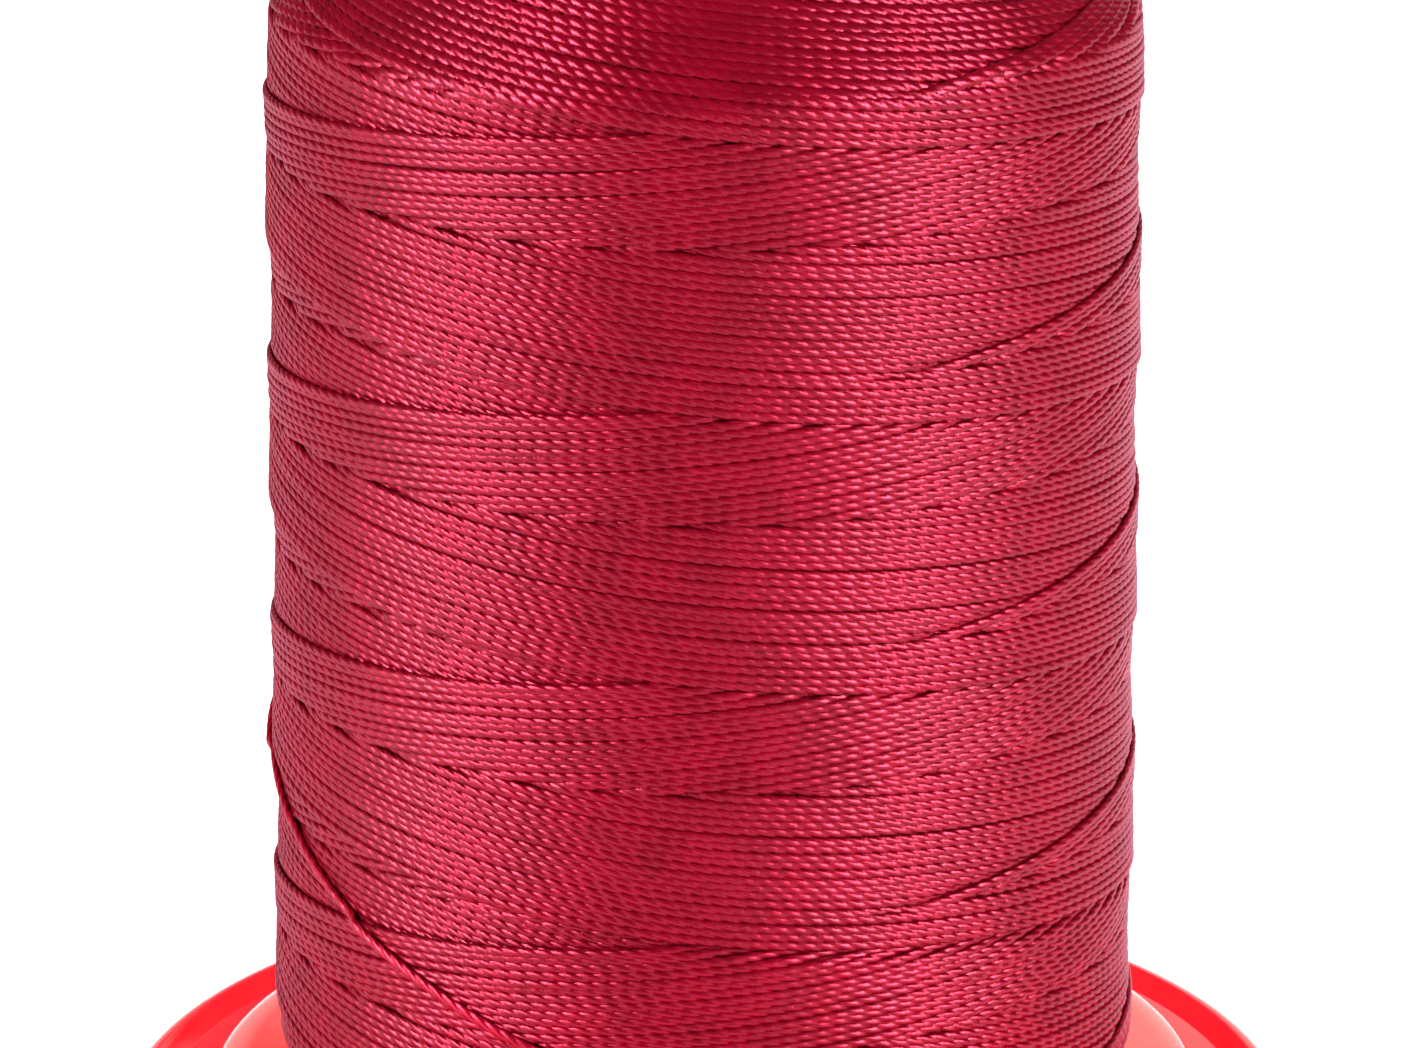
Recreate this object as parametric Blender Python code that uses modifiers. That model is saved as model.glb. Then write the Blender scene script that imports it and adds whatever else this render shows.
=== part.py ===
"""Spool of thread: a cross-wound thread package on a plastic core with a push-fit foot.

Blender 4.5, metres, +Z up. The origin is on the spool's axis, in the plane it stands on.
"""

import math

import bpy
from mathutils import Vector

MM = 0.001
STEPS = 72  # flat faces around every turned piece
GAP = 0.3 * MM  # clearance between two pieces that touch

# Driving dimensions
PACKAGE_RADIUS = 21.0 * MM
PACKAGE_DRAFT = 0.12 * MM  # the package is this much wider at its foot, and narrower at its top
PACKAGE_BOTTOM = 8.7 * MM
PACKAGE_TOP = 69.4 * MM
SHOULDER_LOW = 11.6 * MM  # the cylinder of thread ends here and tapers in to its bottom
SHOULDER_HIGH = 62.1 * MM  # and here it tapers in to its top
TAPER = math.radians(40)  # slope of both tapers from the vertical
THREAD_DIAMETER = 0.4 * MM

TUBE_TOP = 72.5 * MM
TUBE_RADIUS_LOW = 10.6 * MM
TUBE_RADIUS_HIGH = 10.3 * MM
TUBE_BORE = 8.95 * MM
PIN_BORE = 4.5 * MM  # hole in the tube's top for a machine's spool pin
WALL = 1.35 * MM

FOOT_RADIUS = 29.1 * MM
RIM_HEIGHT = 6.4 * MM
LIP_RADIUS = 0.7 * MM
LEDGE_HEIGHT = 5.8 * MM  # flat ring inside the lip
SEAT_RADIUS = 25.1 * MM  # recess that the core's flange drops into
SEAT_HEIGHT = 2.6 * MM
NECK_RADIUS = 8.6 * MM  # sleeve of the foot, inside the tube
NECK_TOP = 12.7 * MM
BEAD_RADIUS = 9.15 * MM  # catch bead at the top of the neck

FLANGE_RADIUS = 24.6 * MM  # the groove round it holds the thread's free end
FLANGE_BOTTOM = SEAT_HEIGHT + GAP
FLANGE_EDGE = 7.8 * MM  # top of the flange at its edge, where its shallow cone starts
CONE_TOP = 8.6 * MM  # top of the cone, at the tube

TAIL_SLOPE = math.radians(20.3)  # how steeply the thread's free end crosses the package
TAIL_START = math.radians(-100)  # angles go anticlockwise from the front, seen from above
TAIL_LEAVES = math.radians(7.4)  # where it leaves the package for the foot
TAIL_LEAVES_HEIGHT = 12.8 * MM
TAIL_STEPS = 40


def clear_scene():
    for obj in list(bpy.data.objects):
        bpy.data.objects.remove(obj)


def new_collection(name):
    made = bpy.data.collections.new(name)
    bpy.context.scene.collection.children.link(made)
    return made


def plain_material(name, colour, roughness):
    made = bpy.data.materials.new(name)
    made.use_nodes = True
    shader = made.node_tree.nodes["Principled BSDF"]
    shader.inputs["Base Color"].default_value = (*colour, 1)
    shader.inputs["Roughness"].default_value = roughness
    shader.inputs["Metallic"].default_value = 0
    made.diffuse_color = (*colour, 1)
    return made


def arc(centre_r, centre_z, radius, start, end, count):
    """Points of a round corner in the profile's plane, from one angle in degrees to another."""
    points = []
    for step in range(count + 1):
        angle = math.radians(start + (end - start) * step / count)
        points.append((centre_r + radius * math.cos(angle), centre_z + radius * math.sin(angle)))
    return points


def turned(name, profile, material, collection):
    """A closed profile of (radius, height), outer side downwards, swept round the Z axis."""
    mesh = bpy.data.meshes.new(name)
    count = len(profile)
    edges = [(index, (index + 1) % count) for index in range(count)]
    mesh.from_pydata([(radius, 0, height) for radius, height in profile], edges, [])
    obj = bpy.data.objects.new(name, mesh)
    collection.objects.link(obj)
    screw = obj.modifiers.new("Turn", "SCREW")
    screw.axis = "Z"
    screw.angle = 2 * math.pi
    screw.steps = STEPS
    screw.render_steps = STEPS
    screw.use_merge_vertices = True
    screw.merge_threshold = 0.00001
    screw.use_smooth_shade = True
    mesh.materials.append(material)
    return obj


def cone_height(radius):
    """Height of the core's cone at this radius."""
    share = (FLANGE_RADIUS - radius) / (FLANGE_RADIUS - TUBE_RADIUS_LOW)
    return FLANGE_EDGE + (CONE_TOP - FLANGE_EDGE) * share


def spool_core(material, collection):
    """Tube and bottom flange, one moulding. Its bore has a groove for the foot's catch bead."""
    lid_bottom = TUBE_TOP - WALL
    collar_radius = PIN_BORE + 1.2 * MM
    collar_bottom = TUBE_TOP - 6.5 * MM
    groove_radius = BEAD_RADIUS + GAP
    groove_top = NECK_TOP + 0.7 * MM
    groove_bottom = 9.4 * MM
    edge = 0.35 * MM
    under = WALL * 1.03  # wall thickness measured straight down through the cone
    pocket_radius = FLANGE_RADIUS - 1.6 * MM
    profile = [
        (TUBE_RADIUS_HIGH - edge, TUBE_TOP),
        (TUBE_RADIUS_HIGH, TUBE_TOP - edge),
        (TUBE_RADIUS_LOW, CONE_TOP + 0.5 * MM),
        (TUBE_RADIUS_LOW + 0.5 * MM, cone_height(TUBE_RADIUS_LOW + 0.5 * MM)),
        (FLANGE_RADIUS - edge, cone_height(FLANGE_RADIUS - edge)),
        (FLANGE_RADIUS, FLANGE_EDGE - edge),
        (FLANGE_RADIUS, FLANGE_BOTTOM + edge),
        (FLANGE_RADIUS - edge, FLANGE_BOTTOM),
        (pocket_radius, FLANGE_BOTTOM),
        (pocket_radius, cone_height(pocket_radius) - under),
        (TUBE_RADIUS_LOW, cone_height(TUBE_RADIUS_LOW) - under),
        (TUBE_BORE, cone_height(TUBE_RADIUS_LOW) - under),
        (TUBE_BORE, groove_bottom - 0.3 * MM),
        (groove_radius, groove_bottom),
        (groove_radius, groove_top),
        (TUBE_BORE, groove_top + 0.5 * MM),
        (TUBE_BORE, lid_bottom),
        (collar_radius, lid_bottom),
        (collar_radius, collar_bottom),
        (PIN_BORE, collar_bottom),
        (PIN_BORE, TUBE_TOP - edge),
        (PIN_BORE + edge, TUBE_TOP),
    ]
    return turned("spool_core", profile, material, collection)


def snap_foot(material, collection):
    """Wide foot ring with a round lip, a seat for the flange and a neck up the core's bore."""
    lip_centre = FOOT_RADIUS - LIP_RADIUS
    skirt = WALL + 0.15 * MM
    under_ledge = LEDGE_HEIGHT - WALL
    floor_bottom = SEAT_HEIGHT - WALL
    neck_bore = NECK_RADIUS - WALL
    bead_bottom = NECK_TOP - 0.7 * MM
    profile = arc(lip_centre, RIM_HEIGHT - LIP_RADIUS, LIP_RADIUS, 140, 0, 7)
    profile += [
        (FOOT_RADIUS, 0.4 * MM),
        (FOOT_RADIUS - 0.4 * MM, 0),
        (FOOT_RADIUS - skirt, 0),
        (FOOT_RADIUS - skirt - 0.15 * MM, under_ledge),
        (SEAT_RADIUS + skirt, under_ledge),
        (SEAT_RADIUS + WALL, floor_bottom),
        (neck_bore + 0.4 * MM, floor_bottom),
        (neck_bore, floor_bottom + 0.4 * MM),
        (neck_bore, NECK_TOP),
        (BEAD_RADIUS - 0.35 * MM, NECK_TOP),
        (BEAD_RADIUS, NECK_TOP - 0.4 * MM),
        (BEAD_RADIUS, bead_bottom),
        (NECK_RADIUS, bead_bottom - 0.3 * MM),
        (NECK_RADIUS, SEAT_HEIGHT),
        (SEAT_RADIUS, SEAT_HEIGHT),
        (SEAT_RADIUS, LEDGE_HEIGHT - 0.1 * MM),
        (SEAT_RADIUS + 0.1 * MM, LEDGE_HEIGHT),
        (lip_centre - 1.3 * MM, LEDGE_HEIGHT),
    ]
    return turned("snap_foot", profile, material, collection)


def thread_winding(material, collection):
    """The wound package: a cylinder of thread whose two ends taper in and round over."""
    inner = TUBE_RADIUS_LOW + 0.4 * MM
    foot_radius = PACKAGE_RADIUS + PACKAGE_DRAFT
    head_radius = PACKAGE_RADIUS - PACKAGE_DRAFT
    head_drop = 5.8 * MM
    head_in = head_drop * math.tan(TAPER)
    foot_drop = 2.7 * MM
    foot_in = foot_drop * math.tan(TAPER)
    profile = [
        (inner + 0.6 * MM, PACKAGE_TOP),
        (head_radius - head_in - 1.1 * MM, PACKAGE_TOP - 0.6 * MM),
        (head_radius - head_in, SHOULDER_HIGH + head_drop),
        (head_radius - 0.35 * MM, SHOULDER_HIGH + 0.6 * MM),
        (head_radius, SHOULDER_HIGH - 0.4 * MM),
        (foot_radius, SHOULDER_LOW + 1.2 * MM),
        (foot_radius - 0.25 * MM, SHOULDER_LOW - 0.1 * MM),
        (foot_radius - foot_in, SHOULDER_LOW - foot_drop),
        (foot_radius - foot_in - 1.2 * MM, PACKAGE_BOTTOM),
        (inner + 0.6 * MM, cone_height(inner) + 0.8 * MM),
        (inner, cone_height(inner) + 1.6 * MM),
        (inner, PACKAGE_TOP - 0.6 * MM),
    ]
    return turned("thread_winding", profile, material, collection)


def ticket_label(material, collection):
    """Paper ring in the recess under the foot."""
    thickness = 0.3 * MM
    top = SEAT_HEIGHT - WALL - GAP
    profile = [
        (23.6 * MM, top),
        (23.6 * MM, top - thickness),
        (13.0 * MM, top - thickness),
        (13.0 * MM, top),
    ]
    return turned("ticket_label", profile, material, collection)


def tail_points():
    """Centre line of the thread's free end: round the package, then straight to the groove."""
    radius = PACKAGE_RADIUS + PACKAGE_DRAFT + GAP + THREAD_DIAMETER / 2
    rise = radius * math.tan(TAIL_SLOPE)
    points = []
    for step in range(TAIL_STEPS + 1):
        angle = TAIL_START + (TAIL_LEAVES - TAIL_START) * step / TAIL_STEPS
        height = TAIL_LEAVES_HEIGHT + rise * (TAIL_LEAVES - angle)
        points.append(Vector((radius * math.sin(angle), -radius * math.cos(angle), height)))
    groove = FLANGE_RADIUS + 0.15 * MM
    run = math.sqrt(groove**2 - radius**2)
    along = Vector((math.cos(TAIL_LEAVES), math.sin(TAIL_LEAVES), 0))
    end = points[-1] + along * run
    end.z = FLANGE_EDGE + GAP + THREAD_DIAMETER / 2 + 0.05 * MM
    return [*points, points[-1].lerp(end, 0.5), end]


def thread_tail(material, collection):
    points = tail_points()
    curve = bpy.data.curves.new("thread_tail", "CURVE")
    curve.dimensions = "3D"
    curve.bevel_depth = THREAD_DIAMETER / 2
    curve.bevel_resolution = 2
    curve.use_fill_caps = True
    spline = curve.splines.new("POLY")
    spline.points.add(len(points) - 1)
    for place, point in zip(spline.points, points):
        place.co = (*point, 1)
    obj = bpy.data.objects.new("thread_tail", curve)
    collection.objects.link(obj)
    curve.materials.append(material)
    return obj


def sliding_foot(pieces, collection):
    """An empty on the slide's axis that the foot and its label hang from."""
    axis = bpy.data.objects.new("foot_slide", None)
    collection.objects.link(axis)
    for piece in pieces:
        piece.parent = axis


def main():
    clear_scene()
    spool = new_collection("spool_of_thread")
    thread = plain_material("crimson_thread", (0.42, 0.012, 0.045), 0.45)
    tail = plain_material("tail_thread", (0.46, 0.013, 0.045), 0.45)
    core = plain_material("core_red_plastic", (0.83, 0.02, 0.02), 0.22)
    foot = plain_material("foot_red_plastic", (0.85, 0.016, 0.018), 0.2)
    paper = plain_material("label_paper", (0.86, 0.84, 0.79), 0.8)
    spool_core(core, spool)
    thread_winding(thread, spool)
    thread_tail(tail, spool)
    moving = [snap_foot(foot, spool), ticket_label(paper, spool)]
    sliding_foot(moving, spool)


main()
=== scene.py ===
"""Looks of a spool of thread: a cross-wound package of three-ply thread on a plastic core
with a push-fit foot.

Angles round the spool's axis are measured to the right from the front (-Y), in radians. A
height on the package is its "lay": the height that the thread would have if it kept to the
cylinder. Past the two shoulders the lay is stretched over the tapered ends.
"""

import math

import bpy
import numpy as np
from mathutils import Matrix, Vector


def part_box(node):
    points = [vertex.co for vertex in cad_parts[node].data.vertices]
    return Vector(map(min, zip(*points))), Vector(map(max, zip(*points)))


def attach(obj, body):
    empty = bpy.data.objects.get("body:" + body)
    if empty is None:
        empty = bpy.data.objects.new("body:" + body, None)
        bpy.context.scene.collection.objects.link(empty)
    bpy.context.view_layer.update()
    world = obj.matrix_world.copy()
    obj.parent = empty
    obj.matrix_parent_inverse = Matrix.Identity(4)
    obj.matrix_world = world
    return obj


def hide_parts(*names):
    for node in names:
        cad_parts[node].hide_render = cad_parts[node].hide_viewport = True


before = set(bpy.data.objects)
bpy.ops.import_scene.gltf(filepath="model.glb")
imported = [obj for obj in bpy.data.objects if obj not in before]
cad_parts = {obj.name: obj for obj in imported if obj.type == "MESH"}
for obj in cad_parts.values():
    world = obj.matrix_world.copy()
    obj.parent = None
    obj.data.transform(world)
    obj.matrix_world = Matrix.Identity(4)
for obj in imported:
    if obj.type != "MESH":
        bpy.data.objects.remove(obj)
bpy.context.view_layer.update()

MM = 0.001
TURN = 2 * math.pi

# Sizes that the frame gives
WINDING_LOW, WINDING_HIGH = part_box("thread_winding")
CORE_LOW, CORE_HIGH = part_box("spool_core")
FOOT_LOW, FOOT_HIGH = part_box("snap_foot")
LABEL_LOW, LABEL_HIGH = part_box("ticket_label")

# The winding
DRAFT = 0.12 * MM
PACKAGE_RADIUS = WINDING_HIGH.x - DRAFT
SHOULDER_HIGH = WINDING_HIGH.z - 7.3 * MM
SHOULDER_LOW = WINDING_LOW.z + 2.9 * MM
THREAD_RADIUS = 0.205 * MM
VALLEY_RADIUS = 0.175 * MM  # between two plies
FLATTEN = 0.84  # wound under tension, a thread is pressed flatter than round
WIDEN = 1.32  # and it spreads sideways
PLIES = 3
PLY_POINTS = 4  # points of a section on each ply
CREST_SHAPE = 0.75  # below 1, a ply's crest is broader than its groove
TWIST_PITCH = 2.55 * MM  # a ply's full turn
RING_STEP = 0.225 * MM  # between two rings of points along a thread
LEAD = 13.08 * MM  # lay per turn
RUNS = 33  # threads of one family side by side in a lead
CROSSING = 35.64 * MM  # lay at which the two newest threads cross, at the front
DOWN_HEAD_START = 5.2  # how many runs sooner the down-going threads come out on top
AGE_DROP = 0.36 * MM  # the newest thread lies this much above the oldest one
CROSSOVER = 0.34 * MM  # how far a thread lies below one that it goes under
END_STRETCH = 1.25  # spacing of the threads on the tapered ends
END_TAPER = math.radians(40)  # slope of both ends from the vertical
HEAD_BEND = math.radians(41)  # further bends, in to the tube
FOOT_BEND = math.radians(63)
GROOVE_RUNS = 1.5  # a thread sinks over this many runs before it goes under another
HIDDEN_MARGIN = 9  # rings kept of a thread that has gone under the others
PIECE_RINGS = 8000  # keeps a piece under 200,000 triangles
BED_DEPTH = 0.5 * MM  # of the ring of older layers, under the surface
BED_INSIDE = 10.75 * MM

# The thread's free end
TAIL_SLOPE = math.radians(20.3)
TAIL_START = math.radians(-122)  # from here on it lies on the newest thread
TAIL_BRANCH = math.radians(-108)  # here it leaves that thread
TAIL_STEEP = math.radians(-84)  # and here it has its full slope
TAIL_LEAVES = math.radians(7.4)  # here it leaves the package
TAIL_LEAVES_HEIGHT = 12.8 * MM
TAIL_LIFT = 1.4 * THREAD_RADIUS  # it lies this much above the threads it crosses
TAIL_BEND = 1.3 * MM  # how soon before the groove it starts to turn down
TAIL_SINKS = (2.2 * MM, 3.2 * MM, 4.2 * MM)  # points of its end, in the groove
TAIL_RING_STEP = 0.18 * MM

# The plastic
WALL = 1.35 * MM
TUBE_BORE = 8.95 * MM
PIN_BORE = 4.5 * MM
TUBE_RADIUS_LOW = 10.6 * MM
TUBE_RADIUS_HIGH = 10.3 * MM
FLANGE_EDGE = 8.4 * MM  # height of the flange's top, inside its crowned edge
CONE_TOP = 8.6 * MM  # and at the tube
RIM_HEIGHT = 6.4 * MM
LIP_RADIUS = 0.7 * MM
LEDGE_HEIGHT = 5.8 * MM  # flat ring inside the lip
SEAT_RADIUS = 25.1 * MM  # recess that the flange drops into
SEAT_HEIGHT = 2.6 * MM
NECK_RADIUS = 8.6 * MM  # sleeve of the foot, inside the tube
BEAD_RADIUS = 9.15 * MM  # catch bead on the neck

# The camera
EYE_DISTANCE = 346.7 * MM  # level distance from the spool's axis
EYE_TILT = 0.3204  # radians down
AIM_HEIGHT = 36.43 * MM
LENS = 191.6


def smooth(value):
    """Smooth step from 0 to 1."""
    held = np.clip(value, 0, 1)
    return held * held * (3 - 2 * held)


# ---------------------------------------------------------------- the package's outline


def end_outline(slopes, start_radius, length):
    """Arrays arc, radius, rise and slope of an end of the package, from its shoulder inwards.

    slopes is a list of (angle, arc where it begins, arc that it takes)."""
    arc = np.linspace(0, length, 600)
    angle = np.zeros_like(arc)
    for turn, begin, span in slopes:
        angle += turn * smooth((arc - begin) / span)
    step = arc[1] - arc[0]
    radius = start_radius - np.concatenate([[0], np.cumsum(np.sin(angle[:-1]) * step)])
    rise = np.concatenate([[0], np.cumsum(np.cos(angle[:-1]) * step)])
    return arc, radius, rise, angle


def package_outline():
    """Arrays lay, radius, height, slope of the package's surface, from its foot to its head."""
    head = end_outline(
        [(END_TAPER, 0, 1.7 * MM), (HEAD_BEND, 6.6 * MM, 2.2 * MM)],
        PACKAGE_RADIUS - DRAFT,
        13.2 * MM,
    )
    foot = end_outline(
        [(END_TAPER, 0, 2.0 * MM), (FOOT_BEND, 1.9 * MM, 2.0 * MM)],
        PACKAGE_RADIUS + DRAFT,
        12.2 * MM,
    )
    middle = np.linspace(SHOULDER_LOW, SHOULDER_HIGH, 200)[1:-1]
    draft = np.interp(middle, [SHOULDER_LOW, SHOULDER_HIGH], [DRAFT, -DRAFT])
    lay_low = SHOULDER_LOW - foot[0][::-1] / END_STRETCH
    lay_high = SHOULDER_HIGH + head[0] / END_STRETCH
    lay = [lay_low, middle, lay_high]
    radius = [foot[1][::-1], PACKAGE_RADIUS + draft, head[1]]
    height = [SHOULDER_LOW - foot[2][::-1], middle, SHOULDER_HIGH + head[2]]
    slope = [-foot[3][::-1], np.zeros_like(middle), head[3]]
    return [np.concatenate(part) for part in (lay, radius, height, slope)]


OUTLINE = package_outline()
LAY_LOW = SHOULDER_LOW - 4.6 * MM / END_STRETCH  # threads end here, under the package
LAY_HIGH = OUTLINE[0][-1]


def on_package(lay, angle, depth):
    """Points and outward normals at this lay and angle; depth is how far under the surface."""
    radius, height, slope = (np.interp(lay, OUTLINE[0], part) for part in OUTLINE[1:])
    out = np.stack([np.sin(angle), -np.cos(angle), np.zeros_like(angle)], axis=1)
    up = np.array([0, 0, 1.0])
    normal = out * np.cos(slope)[:, None] + up * np.sin(slope)[:, None]
    points = out * radius[:, None] + up * height[:, None] - normal * depth[:, None]
    return points, normal


# ---------------------------------------------------------------- meshes from arrays


class ThreadMesh:
    """Collects closed tubes with a twisted three-ply section into one mesh."""

    def __init__(self):
        self.points, self.faces, self.uvs, self.caps = [], [], [], []
        self.rings = 0
        self.count = PLIES * PLY_POINTS
        share = np.arange(self.count) / self.count
        crest = np.abs(np.sin(share * TURN * PLIES / 2)) ** CREST_SHAPE
        self.share = share
        self.section = VALLEY_RADIUS + (THREAD_RADIUS - VALLEY_RADIUS) * crest

    def add(self, path, normal, along, phase, wide=None):
        """A tube on these path points. along is the distance run at each of them, phase turns
        its twist, and wide is how much broader than usual it is pressed there."""
        rings, count = len(path), self.count
        tangent = np.gradient(path, axis=0)
        tangent /= np.linalg.norm(tangent, axis=1)[:, None]
        side = np.cross(tangent, normal)
        side /= np.linalg.norm(side, axis=1)[:, None]
        out = np.cross(side, tangent)
        turn = self.share[None, :] * TURN + (phase + along / TWIST_PITCH * TURN)[:, None]
        if wide is not None:
            side *= wide[:, None]
        offset = out[:, None] * (np.cos(turn) * self.section)[..., None] * FLATTEN
        offset = offset + side[:, None] * (np.sin(turn) * self.section)[..., None] * WIDEN
        base = self.rings * count
        self.points.append((path[:, None] + offset).reshape(-1, 3))
        ring = np.arange(rings - 1)[:, None] * count
        column = np.arange(count)[None, :]
        following = (column + 1) % count
        here, ahead = ring + column, ring + count + column
        over_here, over_ahead = ring + following, ring + count + following
        quads = np.stack([here, over_here, over_ahead, ahead], axis=-1)
        self.faces.append((quads + base).reshape(-1, 4))
        run = np.stack([along[:-1], along[:-1], along[1:], along[1:]], axis=1)
        wrap = self.share
        around = np.stack([wrap, wrap + 1 / count, wrap + 1 / count, wrap], axis=1)
        u = np.broadcast_to((run / MM)[:, None, :], (rings - 1, count, 4))
        v = around[None] + (run / TWIST_PITCH)[:, None, :]
        self.uvs.append(np.stack([u, v], axis=-1).reshape(-1, 2))
        self.caps.append(base + np.arange(count))
        self.caps.append(base + (rings - 1) * count + np.arange(count)[::-1])
        self.rings += rings

    def build(self, name, material):
        """The object that holds all of its tubes."""
        points = np.concatenate(self.points).astype(np.float32)
        quads = np.concatenate(self.faces).astype(np.int32)
        caps = np.array(self.caps, dtype=np.int32)
        loops = np.concatenate([quads.reshape(-1), caps.reshape(-1)])
        sizes = np.concatenate([np.full(len(quads), 4), np.full(len(caps), self.count)])
        starts = np.concatenate([[0], np.cumsum(sizes)[:-1]]).astype(np.int32)
        mesh = bpy.data.meshes.new(name)
        mesh.vertices.add(len(points))
        mesh.vertices.foreach_set("co", points.reshape(-1))
        mesh.loops.add(len(loops))
        mesh.loops.foreach_set("vertex_index", loops)
        mesh.polygons.add(len(sizes))
        mesh.polygons.foreach_set("loop_start", starts)
        layer = mesh.uv_layers.new(name="thread")
        flat = np.concatenate([*self.uvs, np.zeros((caps.size, 2))]).astype(np.float32)
        layer.data.foreach_set("uv", flat.reshape(-1))
        mesh.update()
        mesh.validate()
        mesh.shade_smooth()
        obj = bpy.data.objects.new(name, mesh)
        bpy.context.scene.collection.objects.link(obj)
        mesh.materials.append(material)
        return obj


def fillet(profile, steps=5):
    """A closed profile of (radius, height, corner radius) with its corners rounded."""
    points = []
    count = len(profile)
    for index, (radius, height, corner) in enumerate(profile):
        here = Vector((radius, height))
        before = Vector(profile[index - 1][:2]) - here
        after = Vector(profile[(index + 1) % count][:2]) - here
        if corner <= 0:
            points.append((radius, height))
            continue
        half = before.angle(after) / 2
        reach = min(corner / math.tan(half), before.length * 0.49, after.length * 0.49)
        start = here + before.normalized() * reach
        end = here + after.normalized() * reach
        for step in range(steps + 1):
            share = step / steps
            bend = start.lerp(here, share).lerp(here.lerp(end, share), share)
            points.append(tuple(bend))
    return points


def turned(name, profile, material, steps=256):
    """A closed profile of (radius, height), outer side downwards, swept round the axis."""
    mesh = bpy.data.meshes.new(name)
    count = len(profile)
    edges = [(index, (index + 1) % count) for index in range(count)]
    mesh.from_pydata([(radius, 0, height) for radius, height in profile], edges, [])
    obj = bpy.data.objects.new(name, mesh)
    bpy.context.scene.collection.objects.link(obj)
    screw = obj.modifiers.new("Turn", "SCREW")
    screw.steps = steps
    screw.render_steps = steps
    screw.use_merge_vertices = True
    screw.merge_threshold = 0.000005
    screw.use_smooth_shade = True
    mesh.materials.append(material)
    return obj


# ---------------------------------------------------------------- the thread's lay


def ages(lay, angle):
    """How many runs old the down-going and the up-going thread through each point are."""
    run = LEAD / RUNS
    down = (lay + LEAD * angle / TURN - CROSSING) / run
    up = (CROSSING - lay + LEAD * angle / TURN) / run
    return down, up


def wrapped(age, ahead):
    """An age folded to one lead, from this much newer than the newest to the oldest."""
    return np.mod(age + ahead, RUNS) - ahead


def wander(rng, angle, size, waves=5):
    """A slow random wave along a thread."""
    total = np.zeros_like(angle)
    for _ in range(waves):
        rate, start = rng.uniform(0.4, 5.0), rng.uniform(0, TURN)
        total += np.sin(angle * rate + start)
    return total * size / math.sqrt(waves)


def thread_run(rng, down, age):
    """One thread of the package, as arrays along it: path, outward normal, distance run, how
    far it is covered by others, lay, and how much broader it is pressed."""
    sense = -1 if down else 1
    first = CROSSING - sense * LEAD / RUNS * age
    bounds = sorted(sense * (end - first) * TURN / LEAD for end in (LAY_LOW, LAY_HIGH))
    angle = np.linspace(*bounds, 9000)
    lay = first + sense * LEAD * angle / TURN
    radius = np.interp(lay, OUTLINE[0], OUTLINE[1])
    stretch = np.where((lay > SHOULDER_HIGH) | (lay < SHOULDER_LOW), END_STRETCH, 1)
    speed = np.hypot(radius, LEAD / TURN * stretch)
    along = np.concatenate([[0], np.cumsum(speed[1:] * np.diff(angle))])
    rings = int(along[-1] / RING_STEP)
    spaced = np.linspace(0, along[-1], rings)
    angle = np.interp(spaced, along, angle)
    lay = first + sense * LEAD * angle / TURN
    other = wrapped(ages(lay, angle)[1 if down else 0], GROOVE_RUNS)
    lead = -DOWN_HEAD_START if down else DOWN_HEAD_START
    ragged = wander(rng, angle, 0.25)
    covered = smooth((age + lead - other + ragged) / GROOVE_RUNS + 0.6)
    covered = covered * smooth((other + 0.4 * ragged) / GROOVE_RUNS + 1)
    level = AGE_DROP * (0.5 - age / RUNS)
    level_above = AGE_DROP * (0.5 - np.maximum(other, 0) / RUNS)
    dive = np.maximum(0, level - level_above + CROSSOVER)
    depth = THREAD_RADIUS - level + covered * dive + wander(rng, angle, 0.018 * MM)
    shifted = lay + wander(rng, angle, 0.03 * MM) + rng.normal(0, 0.028 * MM)
    path, normal = on_package(shifted, angle, depth)
    beyond = np.maximum(lay - SHOULDER_HIGH, SHOULDER_LOW - lay)
    wide = 1 + (END_STRETCH - 1) * smooth(beyond / MM + 0.5)
    return path, normal, spaced, covered, lay, wide


def shown_stretches(covered, lay, gone):
    """(start, end) of each stretch of a thread that isn't gone or well under the others."""
    open_end = (lay > SHOULDER_HIGH - 0.5 * MM) | (lay < SHOULDER_LOW + 0.5 * MM)
    shown = (covered < 0.985) | open_end
    reach = np.ones(2 * HIDDEN_MARGIN + 1)
    shown = np.convolve(shown, reach, mode="same") > 0
    shown &= ~gone
    edges = np.flatnonzero(np.diff(np.concatenate([[0], shown.astype(int), [0]])))
    return [(a, b) for a, b in zip(edges[::2], edges[1::2]) if b - a > 6]


def winding(material):
    """The wound thread, as pieces that each hold some of its runs."""
    rng = np.random.default_rng(11)
    pieces, current = [], ThreadMesh()
    for down in (True, False):
        for age in range(RUNS):
            path, normal, along, covered, lay, wide = thread_run(rng, down, age)
            gone = np.zeros(len(lay), bool)
            if down and age == 0:
                branch_lay = CROSSING - LEAD - LEAD * TAIL_BRANCH / TURN
                gone = lay < branch_lay
            phase = rng.uniform(0, TURN)
            stretches = shown_stretches(covered, lay, gone)
            if current.rings + sum(end - start for start, end in stretches) > PIECE_RINGS:
                pieces.append(current)
                current = ThreadMesh()
            for start, end in stretches:
                cut = slice(start, end)
                current.add(path[cut], normal[cut], along[cut], phase, wide[cut])
    pieces.append(current)
    return [
        piece.build(f"thread_lay_{number:02d}", material) for number, piece in enumerate(pieces, 1)
    ]


def winding_bed(material):
    """The older layers under the outermost threads, as one ring."""
    radius, height, slope = (part[::6] for part in OUTLINE[1:])
    sunk_radius = radius - BED_DEPTH * np.cos(slope)
    sunk_height = height - BED_DEPTH * np.sin(slope)
    outer = np.stack([sunk_radius, sunk_height], axis=1)
    outer = outer[sunk_radius > BED_INSIDE + 0.15 * MM][::-1]
    profile = [tuple(point) for point in outer]
    profile += [(BED_INSIDE, outer[-1][1]), (BED_INSIDE, outer[0][1])]
    return turned("winding_bed", profile, material, 192)


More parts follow.
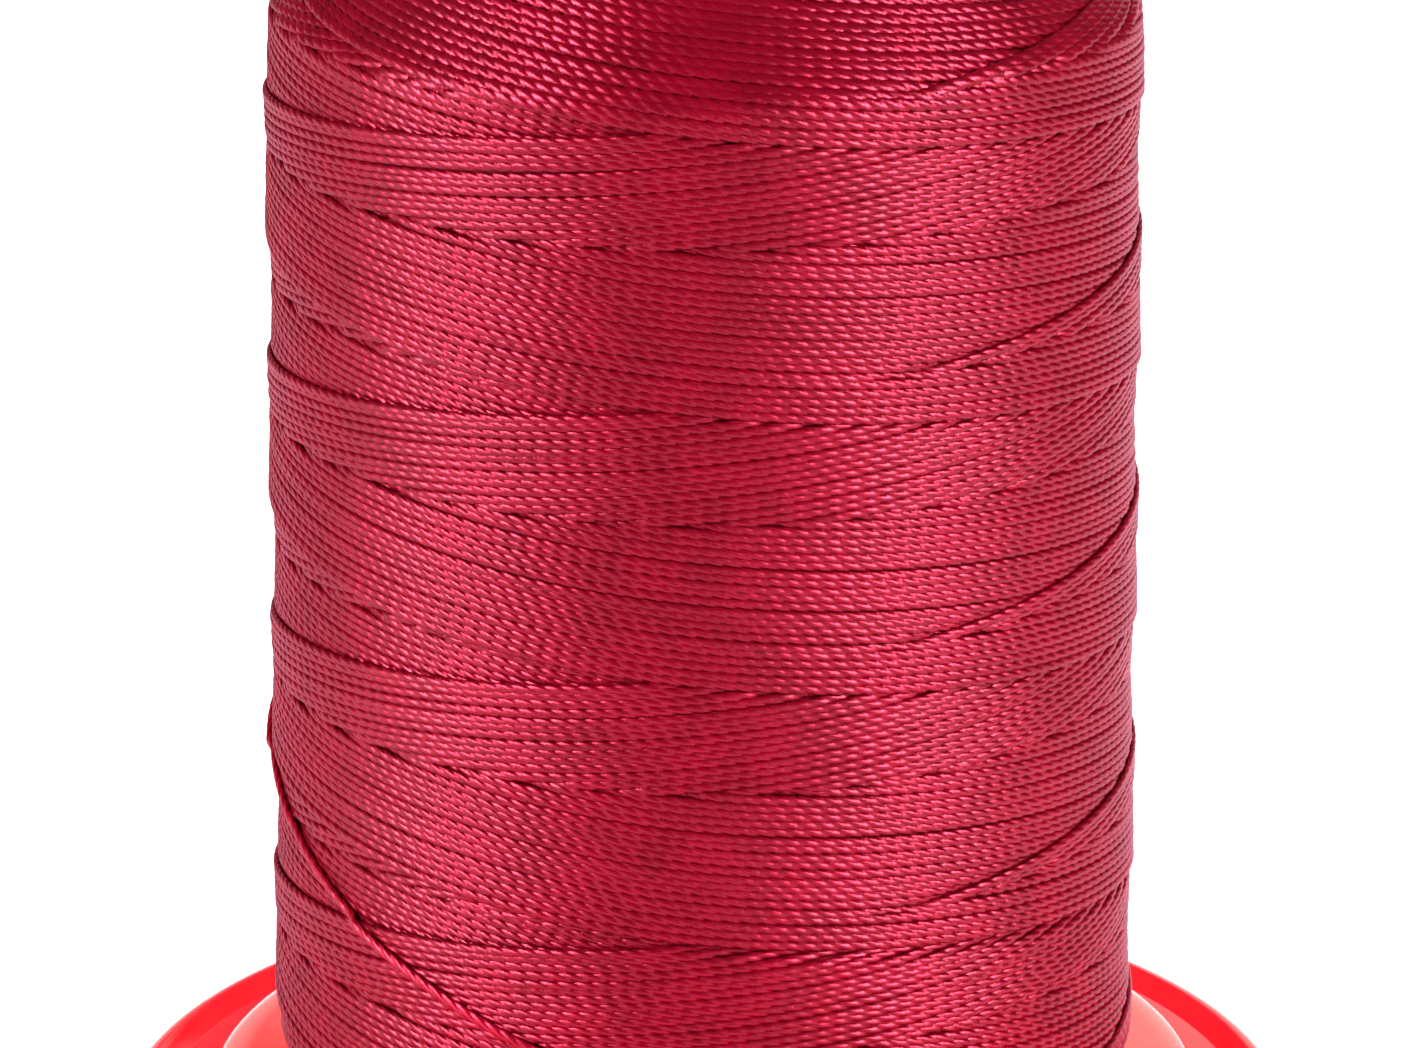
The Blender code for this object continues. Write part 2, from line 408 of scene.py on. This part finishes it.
def surface_level(lay, angle):
    """How far the threads on top here lie above the outline."""
    down, up = (wrapped(age, 0.4) for age in ages(lay, angle))
    newest = np.where(down - DOWN_HEAD_START > up, up, down)
    return AGE_DROP * (0.5 - np.maximum(newest, 0) / RUNS)


def running_max(values, reach):
    """The highest value within this many places of each."""
    padded = np.pad(values, reach, mode="edge")
    shifted = [padded[k : k + len(values)] for k in range(2 * reach + 1)]
    return np.max(shifted, axis=0)


def running_mean(values, reach):
    """The mean of the values within this many places of each."""
    width = 2 * reach + 1
    return np.convolve(np.pad(values, reach, mode="edge"), np.ones(width) / width, mode="valid")


def tail_on_package():
    """Path and normals of the free end where it lies on the package."""
    angle = np.linspace(TAIL_START, TAIL_LEAVES, 900)
    shallow = LEAD / TURN
    steep = PACKAGE_RADIUS * math.tan(TAIL_SLOPE)
    steepening = smooth((angle - TAIL_BRANCH) / (TAIL_STEEP - TAIL_BRANCH))
    fall = shallow + (steep - shallow) * steepening
    drop = np.concatenate([[0], np.cumsum(fall[1:] * np.diff(angle))])
    lay = TAIL_LEAVES_HEIGHT + drop[-1] - drop
    bridged = running_mean(running_max(surface_level(lay, angle), 2), 5)
    laid_on = smooth((angle - TAIL_BRANCH + 0.1) / 0.35)
    return on_package(lay, angle, THREAD_RADIUS - bridged - laid_on * TAIL_LIFT)


def tail(material):
    """The free end: it leaves the newest thread, steepens and runs down into the groove."""
    path, normal = tail_on_package()
    leave = path[-1]
    sideways = np.array([math.cos(TAIL_LEAVES), math.sin(TAIL_LEAVES), 0])
    groove = CORE_HIGH.x + 0.25 * MM
    run = math.sqrt(groove**2 - leave[0] ** 2 - leave[1] ** 2)
    meet = leave + sideways * run
    meet[2] = leave[2] - run * math.tan(TAIL_SLOPE)
    radial = np.array([meet[0], meet[1], 0]) / groove
    before = meet + (leave - meet) * TAIL_BEND / np.linalg.norm(meet - leave)
    shares = np.linspace(0, 1, 60)[1:]
    free = [leave + (before - leave) * share for share in shares]
    turned_out = [normal[-1] + (radial - normal[-1]) * share for share in shares]
    below = meet - [0, 0, TAIL_BEND]
    over = [
        before * (1 - share) ** 2 + meet * 2 * share * (1 - share) + below * share**2
        for share in np.linspace(0, 1, 12)[1:]
    ]
    sunk = [meet - [0, 0, sink] for sink in TAIL_SINKS]
    path = np.concatenate([path, free, over, sunk])
    normal = np.concatenate([normal, turned_out, [radial] * (len(over) + len(sunk))])
    gaps = np.linalg.norm(np.diff(path, axis=0), axis=1)
    along = np.concatenate([[0], np.cumsum(gaps)])
    spaced = np.linspace(0, along[-1], int(along[-1] / TAIL_RING_STEP))
    path, normal = (
        np.stack([np.interp(spaced, along, part[:, axis]) for axis in range(3)], axis=1)
        for part in (path, normal)
    )
    mesh = ThreadMesh()
    mesh.add(path, normal, spaced, 0.4)
    return mesh.build("thread_tail_twist", material)


# ---------------------------------------------------------------- plastic and paper pieces


def core_moulding(material):
    """Tube and flange, with the corners that the mould leaves rounded."""
    top, flange, under = CORE_HIGH.z, CORE_HIGH.x, CORE_LOW.z
    crown, drop = 2.0 * MM, 1.2 * MM  # the flange's edge is a quarter of an ellipse
    pocket = flange - 1.6 * MM  # hollow under the flange
    catch = 9.45 * MM  # groove in the bore for the foot's bead
    funnel = PIN_BORE + 1.2 * MM

    def underside(radius):
        share = (flange - radius) / (flange - TUBE_RADIUS_LOW)
        return FLANGE_EDGE + (CONE_TOP - FLANGE_EDGE) * share - WALL

    profile = [
        (TUBE_RADIUS_HIGH, top, 0.4 * MM),
        (TUBE_RADIUS_LOW, CONE_TOP, 0.9 * MM),
    ]
    for degrees in range(0, 91, 9):
        angle = math.radians(degrees)
        radius = flange - crown + crown * math.sin(angle)
        height = FLANGE_EDGE - drop + drop * math.cos(angle)
        profile.append((radius, height, 0))
    profile += [
        (flange, under, 0.35 * MM),
        (pocket, under, 0.3 * MM),
        (pocket, underside(pocket), 0.5 * MM),
        (TUBE_BORE, underside(TUBE_RADIUS_LOW), 0.3 * MM),
        (TUBE_BORE, 9.1 * MM, 0.15 * MM),
        (catch, 9.4 * MM, 0.15 * MM),
        (catch, 13.4 * MM, 0.15 * MM),
        (TUBE_BORE, 13.9 * MM, 0.15 * MM),
        (TUBE_BORE, top - WALL, 0.6 * MM),
        (funnel, top - WALL, 0.4 * MM),
        (funnel, top - 6.5 * MM, 0.3 * MM),
        (PIN_BORE, top - 6.5 * MM, 0.3 * MM),
        (PIN_BORE, top, 0.35 * MM),
    ]
    return turned("core_moulding", fillet(profile), material)


def foot_moulding(material):
    """The push-fit foot ring with its lip, ledge, seat and neck."""
    rim, neck_top = FOOT_HIGH.x, FOOT_HIGH.z
    under_ledge, under_seat = LEDGE_HEIGHT - WALL, SEAT_HEIGHT - WALL
    neck_bore = NECK_RADIUS - WALL
    profile = []
    for degrees in range(132, -1, -12):
        angle = math.radians(degrees)
        radius = rim - LIP_RADIUS + LIP_RADIUS * math.cos(angle)
        height = RIM_HEIGHT - LIP_RADIUS + LIP_RADIUS * math.sin(angle)
        profile.append((radius, height, 0))
    profile += [
        (rim, 0, 0.4 * MM),
        (rim - 1.5 * MM, 0, 0.3 * MM),
        (rim - 1.65 * MM, under_ledge, 0.5 * MM),
        (SEAT_RADIUS + 1.5 * MM, under_ledge, 0.5 * MM),
        (SEAT_RADIUS + WALL, under_seat, 0.5 * MM),
        (neck_bore, under_seat, 0.5 * MM),
        (neck_bore, neck_top, 0.3 * MM),
        (BEAD_RADIUS - 0.1 * MM, neck_top, 0.3 * MM),
        (BEAD_RADIUS, 12.0 * MM, 0.15 * MM),
        (NECK_RADIUS, 11.7 * MM, 0.15 * MM),
        (NECK_RADIUS, SEAT_HEIGHT, 0.4 * MM),
        (SEAT_RADIUS, SEAT_HEIGHT, 0.3 * MM),
        (SEAT_RADIUS, LEDGE_HEIGHT, 0.15 * MM),
        (rim - 1.9 * MM, LEDGE_HEIGHT, 0.5 * MM),
    ]
    return turned("foot_moulding", fillet(profile), material)


def label_disc(material):
    """The plain paper ring stuck in the recess under the foot."""
    inner, outer = 13.0 * MM, LABEL_HIGH.x
    low, high = LABEL_LOW.z + 0.12 * MM, LABEL_LOW.z + 0.58 * MM
    corners = [(outer, high), (outer, low), (inner, low), (inner, high)]
    profile = [(radius, height, 0.05 * MM) for radius, height in corners]
    return turned("label_disc", fillet(profile, 3), material)


# ---------------------------------------------------------------- materials


def new_material(name):
    """A new material, its node tree and its shader."""
    made = bpy.data.materials.new(name)
    made.use_nodes = True
    return made, made.node_tree, made.node_tree.nodes["Principled BSDF"]


def add_node(tree, kind, **settings):
    node = tree.nodes.new(kind)
    for name, value in settings.items():
        setattr(node, name, value)
    return node


def noise(tree, vector, scale, detail=3.0, roughness=0.5):
    """Noise read at these coordinates."""
    node = add_node(tree, "ShaderNodeTexNoise")
    node.inputs["Scale"].default_value = scale
    node.inputs["Detail"].default_value = detail
    node.inputs["Roughness"].default_value = roughness
    tree.links.new(vector, node.inputs["Vector"])
    return node.outputs["Fac"]


def spread(tree, value, low, high, out_low, out_high):
    """value mapped from one range to another, and held to it."""
    node = add_node(tree, "ShaderNodeMapRange")
    for socket, number in zip(node.inputs[1:5], (low, high, out_low, out_high)):
        socket.default_value = number
    tree.links.new(value, node.inputs["Value"])
    return node.outputs["Result"]


def blend_colours(tree, share, first, second):
    """The first colour at share 0 and the second at 1."""
    node = add_node(tree, "ShaderNodeMix", data_type="RGBA")
    node.inputs["A"].default_value = (*first, 1)
    node.inputs["B"].default_value = (*second, 1)
    tree.links.new(share, node.inputs["Factor"])
    return node.outputs["Result"]


def scaled(tree, vector, scale):
    """These coordinates, scaled along each axis."""
    node = add_node(tree, "ShaderNodeMapping")
    node.inputs["Scale"].default_value = scale
    tree.links.new(vector, node.inputs["Vector"])
    return node.outputs["Vector"]


def bump(tree, shader, height, strength, distance):
    """Fine relief on the shader's normal."""
    node = add_node(tree, "ShaderNodeBump")
    node.inputs["Strength"].default_value = strength
    node.inputs["Distance"].default_value = distance
    tree.links.new(height, node.inputs["Height"])
    tree.links.new(node.outputs["Normal"], shader.inputs["Normal"])


def calc(tree, operation, first, second=None):
    """A math node. Either input is a socket or a number."""
    node = add_node(tree, "ShaderNodeMath", operation=operation)
    for socket, value in zip(node.inputs, (first, second)):
        if value is None:
            continue
        if isinstance(value, (int, float)):
            socket.default_value = value
        else:
            tree.links.new(value, socket)
    return node.outputs[0]


def ply_crest(tree, uv):
    """1 along the middle of each ply and 0 in the groove between two of them."""
    parts = add_node(tree, "ShaderNodeSeparateXYZ")
    tree.links.new(uv, parts.inputs[0])
    turned_back = calc(tree, "MULTIPLY", parts.outputs["X"], -MM / TWIST_PITCH)
    share = calc(tree, "ADD", parts.outputs["Y"], turned_back)
    wave = calc(tree, "SINE", calc(tree, "MULTIPLY", share, math.pi * PLIES))
    return calc(tree, "ABSOLUTE", wave)


def thread_material(name, groove, dark, light):
    """Glossy filament thread: plies with grooves between them, streaks along the filaments.

    The filaments are clear and dyed through, so the gloss takes much of the dye's colour."""
    made, tree, shader = new_material(name)
    place = add_node(tree, "ShaderNodeTexCoord")
    crest = ply_crest(tree, place.outputs["UV"])
    streaks = noise(tree, scaled(tree, place.outputs["UV"], (1.6, 26, 1)), 1.0, 4.0, 0.6)
    shade = noise(tree, place.outputs["Object"], 420, 2.0)
    fine = spread(tree, streaks, 0.3, 0.7, 0, 0.55)
    slow = spread(tree, shade, 0.35, 0.65, 0, 0.45)
    body = blend_colours(tree, calc(tree, "ADD", fine, slow), dark, light)
    # Between the plies the colour turns to the flat groove colour, a little darker than the body:
    # painted shade in the grooves.
    colour = blend_colours(tree, spread(tree, crest, 0.0, 0.55, 0, 1), groove, light)
    tree.links.new(body, colour.node.inputs["B"])
    tree.links.new(colour, shader.inputs["Base Color"])
    tree.links.new(spread(tree, streaks, 0.3, 0.7, 0.25, 0.34), shader.inputs["Roughness"])
    shader.inputs["Metallic"].default_value = 0.5
    shader.inputs["IOR"].default_value = 1.6
    shader.inputs["Specular Tint"].default_value = (1.0, 0.41, 0.62, 1)
    relief = calc(tree, "ADD", crest, calc(tree, "MULTIPLY", streaks, 0.35))
    bump(tree, shader, relief, 0.6, 0.05 * MM)
    return made


def bed_material():
    """Layers under the outermost threads, painted lighter than the thread: painted light."""
    made, tree, shader = new_material("inner_layers_painted_light")
    place = add_node(tree, "ShaderNodeTexCoord")
    rows = noise(tree, scaled(tree, place.outputs["Object"], (60, 60, 1500)), 1.0, 3.0)
    # A much lighter red than the thread itself: painted light where the gaps between the outer
    # threads lie in shade.
    colour = blend_colours(tree, rows, (0.40, 0.001, 0.012), (0.55, 0.002, 0.02))
    tree.links.new(colour, shader.inputs["Base Color"])
    tree.links.new(spread(tree, rows, 0.2, 0.8, 0.55, 0.75), shader.inputs["Roughness"])
    bump(tree, shader, rows, 0.5, 0.1 * MM)
    return made


def plastic_material(name, deep, pale, gloss, glossiest, dullest):
    """Glossy moulded plastic: faint flow marks, fine grain and rubbed spots."""
    made, tree, shader = new_material(name)
    place = add_node(tree, "ShaderNodeTexCoord")
    flow = noise(tree, scaled(tree, place.outputs["Object"], (1, 1, 2.4)), 90, 2.0)
    grain = noise(tree, place.outputs["Object"], 2600, 3.0)
    rubbed = noise(tree, place.outputs["Object"], 240, 5.0, 0.65)
    tree.links.new(blend_colours(tree, flow, deep, pale), shader.inputs["Base Color"])
    roughness = spread(tree, rubbed, 0.4, 0.75, glossiest, dullest)
    tree.links.new(roughness, shader.inputs["Roughness"])
    shader.inputs["IOR"].default_value = 1.45
    shader.inputs["Specular IOR Level"].default_value = gloss
    shader.inputs["Subsurface Weight"].default_value = 0.12
    shader.inputs["Subsurface Radius"].default_value = (1.0, 0.12, 0.08)
    shader.inputs["Subsurface Scale"].default_value = 1.2 * MM
    bump(tree, shader, grain, 0.06, 0.05 * MM)
    return made


def paper_material():
    """Uncoated label paper with its fibres."""
    made, tree, shader = new_material("label_stock")
    place = add_node(tree, "ShaderNodeTexCoord")
    fibres = noise(tree, scaled(tree, place.outputs["Object"], (1, 1.7, 1)), 1900, 6.0, 0.7)
    colour = blend_colours(tree, fibres, (0.74, 0.71, 0.64), (0.9, 0.885, 0.84))
    tree.links.new(colour, shader.inputs["Base Color"])
    tree.links.new(spread(tree, fibres, 0.3, 0.7, 0.75, 0.9), shader.inputs["Roughness"])
    bump(tree, shader, fibres, 0.3, 0.05 * MM)
    return made


def floor_material():
    """A white sweep. Away from the spool the camera sees it brighter than it lights, so that
    it stays white to the horizon."""
    made, tree, shader = new_material("studio_floor")
    shader.inputs["Base Color"].default_value = (0.93, 0.93, 0.93, 1)
    shader.inputs["Roughness"].default_value = 0.7
    shader.inputs["Emission Color"].default_value = (1, 1, 1, 1)
    place = add_node(tree, "ShaderNodeTexCoord")
    away = add_node(tree, "ShaderNodeVectorMath", operation="LENGTH")
    tree.links.new(place.outputs["Object"], away.inputs[0])
    glow = spread(tree, away.outputs["Value"], 0.12, 0.5, 0.0, 0.9)
    rays = add_node(tree, "ShaderNodeLightPath")
    seen = calc(tree, "MULTIPLY", glow, rays.outputs["Is Camera Ray"])
    tree.links.new(seen, shader.inputs["Emission Strength"])
    return made


# ---------------------------------------------------------------- stage, lights, camera


def stage():
    """The floor, just under the spool."""
    mesh = bpy.data.meshes.new("studio_floor")
    half = 3.0
    corners = [(-half, -half, 0), (half, -half, 0), (half, half, 0), (-half, half, 0)]
    mesh.from_pydata(corners, [], [(0, 1, 2, 3)])
    mesh.materials.append(floor_material())
    floor = bpy.data.objects.new("studio_floor", mesh)
    bpy.context.scene.collection.objects.link(floor)
    floor.location.z = -0.02 * MM


def softbox(name, way, distance, size, power, spread=180, aim=(0, 0, AIM_HEIGHT), warmth=0):
    """An area light aimed at a point, from this way: azimuth to the right of the camera and
    elevation, in degrees. A grid keeps its light to the spread. Warmth 0 is white."""
    light = bpy.data.lights.new(name, "AREA")
    light.shape = "RECTANGLE"
    light.size, light.size_y = size
    light.spread = math.radians(spread)
    light.energy = power
    light.color = (1, 1 - 0.4 * warmth, 1 - warmth)
    lamp = bpy.data.objects.new(name, light)
    bpy.context.scene.collection.objects.link(lamp)
    turn, lift = (math.radians(angle) for angle in way)
    level = math.cos(lift)
    back = Vector((math.sin(turn) * level, -math.cos(turn) * level, math.sin(lift)))
    lamp.location = Vector(aim) + back * distance
    lamp.rotation_euler = back.to_track_quat("Z", "Y").to_euler()
    return lamp


def lights():
    """Two softboxes at the sides, and a light and two panels behind the spool."""
    softbox("left_softbox", (-63, 18), 0.75, (0.30, 0.7), 1.85, spread=44)
    softbox("right_softbox", (58, 18), 0.75, (0.28, 0.7), 1.95, spread=44)
    backdrop = softbox("backdrop_softbox", (180, 60), 0.6, (0.9, 0.4), 7.5, aim=(0, 0.16, 0))
    backdrop.visible_glossy = False
    softbox("back_left_panel", (-168, 7), 0.75, (0.32, 0.33), 0.4, warmth=0.16)
    softbox("back_right_panel", (168, 11), 0.75, (0.32, 0.44), 0.75, warmth=0.16)


def surroundings():
    """A white sky that the camera sees brighter than it lights."""
    world = bpy.data.worlds.new("studio")
    bpy.context.scene.world = world
    world.use_nodes = True
    tree = world.node_tree
    sky = tree.nodes["Background"]
    sky.inputs["Color"].default_value = (1, 1, 1, 1)
    rays = add_node(tree, "ShaderNodeLightPath")
    strength = spread(tree, rays.outputs["Is Camera Ray"], 0, 1, 0.065, 1.0)
    tree.links.new(strength, sky.inputs["Strength"])


def camera():
    """A long lens close to the spool, tilted down, with plain colours."""
    lens = bpy.data.cameras.new("camera")
    lens.lens = LENS
    lens.sensor_width = 36
    lens.clip_start = 0.01
    eye = bpy.data.objects.new("camera", lens)
    bpy.context.scene.collection.objects.link(eye)
    height = AIM_HEIGHT + EYE_DISTANCE * math.tan(EYE_TILT)
    eye.location = (0.05 * MM, -EYE_DISTANCE, height)
    eye.rotation_euler = (math.pi / 2 - EYE_TILT, 0, 0)
    bpy.context.scene.camera = eye
    bpy.context.scene.view_settings.view_transform = "Standard"


def main():
    thread = thread_material(
        "crimson_thread",
        # groove is the flat colour between the plies, a little darker than the body: painted
        # shade.
        groove=(0.18, 0.0003, 0.007),
        dark=(0.135, 0.0003, 0.006),
        light=(0.265, 0.0006, 0.014),
    )
    # The free end is the same thread, painted in a lighter copy of its colours: painted light on
    # it.
    tail_painted_lighter = thread_material(
        "tail_thread",
        groove=(0.24, 0.0006, 0.010),
        dark=(0.20, 0.0005, 0.009),
        light=(0.38, 0.0015, 0.020),
    )
    core = plastic_material(
        "core_red",
        deep=(0.93, 0.010, 0.014),
        pale=(0.98, 0.018, 0.022),
        gloss=0.5,
        glossiest=0.10,
        dullest=0.18,
    )
    foot = plastic_material(
        "foot_red",
        deep=(0.93, 0.005, 0.016),
        pale=(0.98, 0.010, 0.025),
        gloss=0.25,
        glossiest=0.12,
        dullest=0.20,
    )
    package = [*winding(thread), winding_bed(bed_material())]
    placed = [(piece, "spool", "thread_winding", "thread") for piece in package]
    placed += [
        (tail(tail_painted_lighter), "spool", "thread_tail", "tail_thread"),
        (core_moulding(core), "spool", "spool_core", "core_plastic"),
        (foot_moulding(foot), "foot", "snap_foot", "foot_plastic"),
        (label_disc(paper_material()), "foot", "ticket_label", "label_paper"),
    ]
    for piece, body, node, slot in placed:
        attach(piece, body)
        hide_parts(node)
    stage()
    lights()
    surroundings()
    camera()


main()
